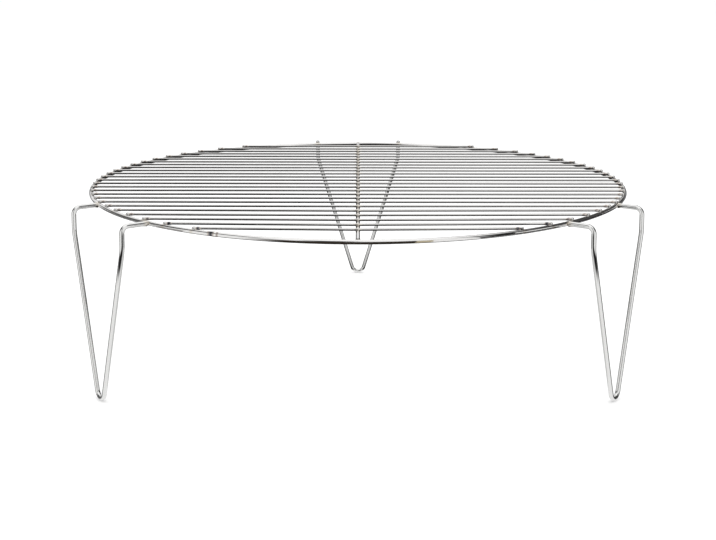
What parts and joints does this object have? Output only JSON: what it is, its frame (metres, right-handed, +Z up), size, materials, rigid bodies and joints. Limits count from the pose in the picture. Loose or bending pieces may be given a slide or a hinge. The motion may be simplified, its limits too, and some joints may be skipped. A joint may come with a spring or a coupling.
{
  "type": "fire bowl grill",
  "caption": "Round wire cooking grate with parallel cross wires on a ring and a centre wire, on V-shaped bent-wire legs, to stand over a fire bowl or embers.",
  "frame": {"origin": "on the ground, at the middle of the whole footprint; the ring's centre is 14.6 mm in front of it", "axes": "+Z up; the cross wires run along X; the front of the grate faces -Y and the back leg stands towards +Y"},
  "size_m": [0.6, 0.6291, 0.196],
  "materials": {
    "rim_steel": "bright polished steel wire with a butt weld",
    "spine_steel": "bright polished steel wire, heat tinted at its welds",
    "cross_steel": "bright drawn steel wire with melted ends",
    "leg_steel": "bright polished steel wire"
  },
  "bodies": {
    "root": {"rim_ring": "rim_steel", "spine_wire": "spine_steel", "cross_wire_01": "cross_steel", "cross_wire_02": "cross_steel", "cross_wire_03": "cross_steel", "cross_wire_04": "cross_steel", "cross_wire_05": "cross_steel", "cross_wire_06": "cross_steel", "cross_wire_07": "cross_steel", "cross_wire_08": "cross_steel", "cross_wire_09": "cross_steel", "cross_wire_10": "cross_steel", "cross_wire_11": "cross_steel", "cross_wire_12": "cross_steel", "cross_wire_13": "cross_steel", "cross_wire_14": "cross_steel", "cross_wire_15": "cross_steel", "cross_wire_16": "cross_steel", "cross_wire_17": "cross_steel", "cross_wire_18": "cross_steel", "cross_wire_19": "cross_steel", "cross_wire_20": "cross_steel", "cross_wire_21": "cross_steel", "cross_wire_22": "cross_steel", "cross_wire_23": "cross_steel", "cross_wire_24": "cross_steel", "cross_wire_25": "cross_steel", "left_leg": "leg_steel", "right_leg": "leg_steel", "back_leg": "leg_steel"}
  },
  "joints": []
}
